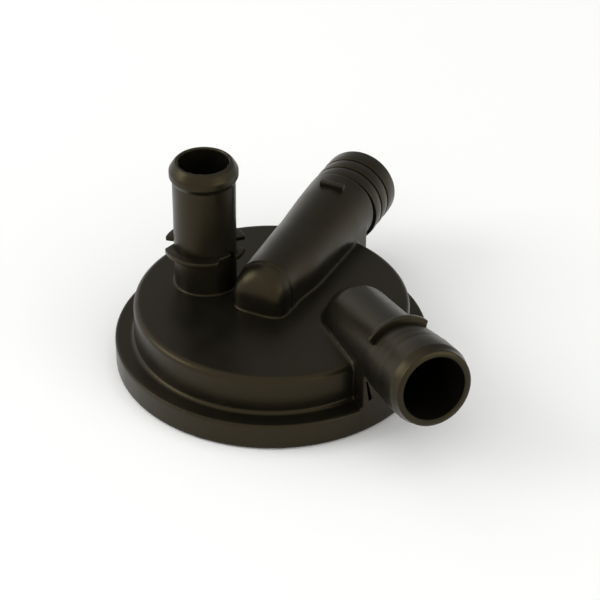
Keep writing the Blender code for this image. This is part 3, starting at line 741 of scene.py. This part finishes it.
def hollow_tool():
    """Everything that the mould's cores take up."""
    seat_wall = SEAT_BORE_R + 2.0 * MM
    weld_seat = cover_high.z - 1.7 * MM + GAP
    groove_r = bead_high.x + GAP
    hollow = turned("hollow", [
        (0, -WALL), (COVER_R + GAP, -WALL), (COVER_R + GAP, weld_seat), (groove_r, weld_seat),
        (groove_r, GROOVE_TOP), (CHAMBER_R, GROOVE_TOP), (CHAMBER_R, CHAMBER_TOP), (0, CHAMBER_TOP)])
    ledge_top = LEDGE_Z + 1.6 * MM
    seat = turned("seat", [
        (0, SEAT_Z), (seat_wall, SEAT_Z), (seat_wall, LEDGE_Z), (LEDGE_R, LEDGE_Z), (LEDGE_R, ledge_top),
        (seat_wall, ledge_top), (seat_wall, DECK_Z), (0, DECK_Z)])
    work(hollow, [outlet_core(), seat], "DIFFERENCE")
    half = Matrix.Rotation(pi / ROUND, 4, "Z")
    over = 2 * MM
    outlet_r, side_r, upright_r = OUTLET_TUBE_R - 2.5 * MM, SIDE_R - 2.3 * MM, UPRIGHT_R - 1.9 * MM
    mouth_r = OUTLET_BAND_R - 2.5 * MM
    side_mouth_r = SIDE_R - 1.4 * MM
    lip = 0.3 * MM
    knee_top = OUTLET_Z + 1.1 * MM
    bores = [
        turned("knee_bore", [(0, SEAT_Z - WALL), (SEAT_BORE_R, SEAT_Z - WALL), (SEAT_BORE_R, knee_top),
                             (0, knee_top)], half),
        turned("outlet_bore", rounded([
            *ball_end(outlet_r), (outlet_r, 0, 0), (mouth_r, OUTLET_END - lip, 0),
            (mouth_r + lip, OUTLET_END, 0), (mouth_r + lip, OUTLET_END + over, 0),
            (0, OUTLET_END + over, 0)]), OUTLET_PLACE @ half),
        turned("side_bore", rounded([
            *ball_end(side_r), (side_r, 0, 0), (side_mouth_r, SIDE_L - lip, 0), (side_mouth_r + lip, SIDE_L, 0),
            (side_mouth_r + lip, SIDE_L + over, 0), (0, SIDE_L + over, 0)]), SIDE_PLACE @ half),
        turned("upright_bore", [
            (0, CHAMBER_TOP - WALL), (upright_r, CHAMBER_TOP - WALL), (upright_r, UPRIGHT_TOP - lip),
            (upright_r + lip, UPRIGHT_TOP), (upright_r + lip, UPRIGHT_TOP + over),
            (0, UPRIGHT_TOP + over)], UPRIGHT_PLACE @ half)]
    return work(hollow, bores, "UNION")


work(skin, [hollow_tool()], "DIFFERENCE")
work(skin, flash(), "UNION")
skin.data.shade_smooth()
skin.data.set_sharp_from_angle(angle=radians(32))
print("housing skin:", len(skin.data.polygons), "faces")
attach(skin, "housing")
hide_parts("upper_housing")

# %% [markdown]
# The rubber and the spring change shape as the plate lifts. Each is a finer copy of its solid.

# %% Rubber and spring
def soft_copy(name, node, subdivide):
    """Copies a node's mesh, refines it and hides the node."""
    piece = bpy.data.objects.new(name, nodes[node].data.copy())
    bpy.context.scene.collection.objects.link(piece)
    refine = piece.modifiers.new("refine", "SUBSURF")
    refine.levels = refine.render_levels = subdivide
    refine.subdivision_type = "SIMPLE"
    settle(piece)
    piece.data.shade_smooth()
    piece.data.set_sharp_from_angle(angle=radians(35))
    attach(piece, "housing")
    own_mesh(piece)
    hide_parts(node)
    return piece


rubber = soft_copy("rubber_disc", "diaphragm", 1)
coil = soft_copy("coil_spring", "spring", 1)

# %% [markdown]
# Colours are written as sRGB hex values, as a designer picks them, and turned to linear for the shader.
# One helper adds a shader node with its settings and links, so each material reads as a short list.

# %% Material helpers
def linear(hex_colour):
    """Linear RGBA of an sRGB hex colour."""
    values = [int(hex_colour[i:i + 2], 16) / 255 for i in (1, 3, 5)]
    return (*[v / 12.92 if v <= 0.04045 else ((v + 0.055) / 1.055) ** 2.4 for v in values], 1.0)


def add_node(owner, kind, settings=None, inputs=None):
    """Adds a shader node to a material or world. Inputs are values, or sockets to link."""
    node = owner.node_tree.nodes.new(kind)
    for name, value in (settings or {}).items():
        setattr(node, name, value)
    for name, value in (inputs or {}).items():
        if isinstance(value, bpy.types.NodeSocket):
            owner.node_tree.links.new(value, node.inputs[name])
        else:
            node.inputs[name].default_value = value
    return node


def new_material(name, **sockets):
    """A material with a Principled shader whose constant sockets are set."""
    material = bpy.data.materials.new(name)
    material.use_nodes = True
    shader = material.node_tree.nodes["Principled BSDF"]
    for socket, value in sockets.items():
        shader.inputs[socket.replace("_", " ")].default_value = value
    return material, shader


print("mid grey is", round(linear("#808080")[0], 3), "in linear light")

# %% [markdown]
# The housing is nylon 66 with a third of glass fibre, injection moulded and coloured black.
# The glass makes the skin satin with a fine pebbled grain, and handling leaves faint rubbed patches and dust.
# Its reflections look warm brown, so the shader's specular tint carries that colour.

# %% Black glass-filled nylon
GRAIN = 0.45 * MM
PATCH = 9 * MM
DUST = 2.2 * MM
WARM = linear("#FFE6AE")


def glass_filled_nylon():
    """Satin black moulded plastic with grain, rubbed patches and dust."""
    material, shader = new_material("glass_filled_nylon", IOR=1.53, Specular_IOR_Level=0.3,
                                    Specular_Tint=WARM)
    links = material.node_tree.links
    place = add_node(material, "ShaderNodeTexCoord").outputs["Object"]
    patches = add_node(material, "ShaderNodeTexNoise", inputs={
        "Vector": place, "Scale": 1 / PATCH, "Detail": 4.0, "Roughness": 0.6})
    colour = add_node(material, "ShaderNodeMix", {"data_type": "RGBA"}, {
        "Factor": patches.outputs["Fac"], "A": linear("#0A0907"), "B": linear("#12110C")})
    dust = add_node(material, "ShaderNodeTexVoronoi", inputs={"Vector": place, "Scale": 1 / DUST})
    speck = add_node(material, "ShaderNodeMapRange", inputs={
        "Value": dust.outputs["Distance"], "From Min": 0.06, "From Max": 0.02, "To Min": 0.0, "To Max": 0.35})
    dusty = add_node(material, "ShaderNodeMix", {"data_type": "RGBA"}, {
        "Factor": speck.outputs["Result"], "A": colour.outputs["Result"], "B": linear("#6A6355")})
    links.new(dusty.outputs["Result"], shader.inputs["Base Color"])
    rough = add_node(material, "ShaderNodeMapRange", inputs={
        "Value": patches.outputs["Fac"], "From Min": 0.3, "From Max": 0.7, "To Min": 0.28, "To Max": 0.38})
    links.new(rough.outputs["Result"], shader.inputs["Roughness"])
    grain = add_node(material, "ShaderNodeTexNoise", inputs={
        "Vector": place, "Scale": 1 / GRAIN, "Detail": 3.0, "Roughness": 0.6})
    bump = add_node(material, "ShaderNodeBump", inputs={"Height": grain.outputs["Fac"], "Strength": 0.5,
                                                        "Distance": 0.03 * MM})
    links.new(bump.outputs["Normal"], shader.inputs["Normal"])
    return material


nylon = glass_filled_nylon()
print("nylon grain", GRAIN / MM, "mm")

# %% [markdown]
# The inner pieces are plain moulded acetal, oil-proof rubber and drawn spring wire.

# %% Inner finishes
def oil_proof_rubber():
    """Matt black rubber with a fine talc bloom."""
    material, shader = new_material("oil_proof_rubber", Roughness=0.72, IOR=1.52)
    place = add_node(material, "ShaderNodeTexCoord").outputs["Object"]
    bloom = add_node(material, "ShaderNodeTexNoise", inputs={
        "Vector": place, "Scale": 1 / (3 * MM), "Detail": 5.0})
    colour = add_node(material, "ShaderNodeMix", {"data_type": "RGBA"}, {
        "Factor": bloom.outputs["Fac"], "A": linear("#1B1B1C"), "B": linear("#343435")})
    material.node_tree.links.new(colour.outputs["Result"], shader.inputs["Base Color"])
    return material


def moulded_acetal():
    """Off-white moulded acetal, slightly waxy."""
    material, shader = new_material("moulded_acetal", Roughness=0.38, IOR=1.48, Subsurface_Weight=0.08,
                                    Subsurface_Scale=1 * MM)
    place = add_node(material, "ShaderNodeTexCoord").outputs["Object"]
    flow = add_node(material, "ShaderNodeTexNoise", inputs={
        "Vector": place, "Scale": 1 / (6 * MM), "Detail": 3.0})
    colour = add_node(material, "ShaderNodeMix", {"data_type": "RGBA"}, {
        "Factor": flow.outputs["Fac"], "A": linear("#DDD8C8"), "B": linear("#ECE8DC")})
    material.node_tree.links.new(colour.outputs["Result"], shader.inputs["Base Color"])
    return material


def spring_wire():
    """Drawn steel wire with fine lengthwise streaks."""
    material, shader = new_material("drawn_spring_wire", Metallic=1.0)
    place = add_node(material, "ShaderNodeTexCoord").outputs["Object"]
    streaks = add_node(material, "ShaderNodeTexNoise", inputs={
        "Vector": place, "Scale": 1 / (0.5 * MM), "Detail": 4.0})
    rough = add_node(material, "ShaderNodeMapRange", inputs={
        "Value": streaks.outputs["Fac"], "To Min": 0.22, "To Max": 0.4})
    colour = add_node(material, "ShaderNodeMix", {"data_type": "RGBA"}, {
        "Factor": streaks.outputs["Fac"], "A": linear("#B9B8B4"), "B": linear("#CFCDC8")})
    material.node_tree.links.new(colour.outputs["Result"], shader.inputs["Base Color"])
    material.node_tree.links.new(rough.outputs["Result"], shader.inputs["Roughness"])
    return material


def dress(piece, material):
    """Gives a piece one material."""
    piece.data.materials.clear()
    piece.data.materials.append(material)


acetal = moulded_acetal()
for piece, finish in (
        (skin, nylon), (nodes["lower_cover"], nylon), (rubber, oil_proof_rubber()),
        (nodes["diaphragm_plate"], acetal), (nodes["plate_retainer"], acetal), (coil, spring_wire())):
    dress(piece, finish)
print("materials:", ", ".join(sorted(m.name for m in bpy.data.materials if m.users)))

# %% [markdown]
# A satin black part shows what it reflects more than its own colour. The room is an even soft dome,
# with a large soft box on the left, a weak one at the front right, and a darker corner behind.
# The level is plain, so the pale floor renders as white as it is written and keeps the part's shadow.

# %% Studio
FLOOR_SIZE = 6.0
DOME = 1.03
CORNER = 0.35
CORNER_AT = (0.35, 0.80, 0.45)
BOX_DISTANCE = 1.2


def facing(direction):
    """Turns a direction of the photographer (right, away, up) into one of the model."""
    return Matrix.Rotation(VIEW_TURN, 3, "Z") @ Vector(direction).normalized()


def add_floor():
    """Plain pale floor."""
    bm = bmesh.new()
    bmesh.ops.create_grid(bm, x_segments=1, y_segments=1, size=FLOOR_SIZE / 2)
    floor = finish_mesh("floor", bm)
    material, shader = new_material("pale_floor", Roughness=0.9)
    shader.inputs["Base Color"].default_value = linear("#FAFAF8")
    dress(floor, material)
    return floor


def add_soft_box(name, direction, size, watts):
    """Square soft area light that faces the part from a direction of the photographer."""
    data = bpy.data.lights.new(name, "AREA")
    data.shape = "SQUARE"
    data.size = size
    data.energy = watts
    lamp = bpy.data.objects.new(name, data)
    bpy.context.scene.collection.objects.link(lamp)
    lamp.location = facing(direction) * BOX_DISTANCE + Vector((0, 0, DECK_Z))
    lamp.rotation_euler = (-facing(direction)).to_track_quat("-Z", "Y").to_euler()
    return lamp


def add_world():
    """Even dome of light with a darker corner behind the part."""
    world = bpy.data.worlds.new("studio")
    bpy.context.scene.world = world
    world.use_nodes = True
    background = world.node_tree.nodes["Background"]
    direction = add_node(world, "ShaderNodeTexCoord").outputs["Generated"]
    near = add_node(world, "ShaderNodeVectorMath", {"operation": "DOT_PRODUCT"}, {
        0: direction, 1: facing(CORNER_AT)})
    level = add_node(world, "ShaderNodeMapRange", {"interpolation_type": "SMOOTHSTEP"}, {
        "Value": near.outputs["Value"], "From Min": 0.55, "From Max": 0.95, "To Min": DOME, "To Max": CORNER})
    world.node_tree.links.new(level.outputs["Result"], background.inputs["Strength"])
    background.inputs["Color"].default_value = (1, 1, 1, 1)
    return world


add_floor()
add_world()
add_soft_box("key_box", (-0.86, -0.04, 0.50), 0.6, 4.4)
add_soft_box("fill_box", (0.78, -0.58, 0.22), 0.7, 2.6)
bpy.context.scene.view_settings.view_transform = "Standard"
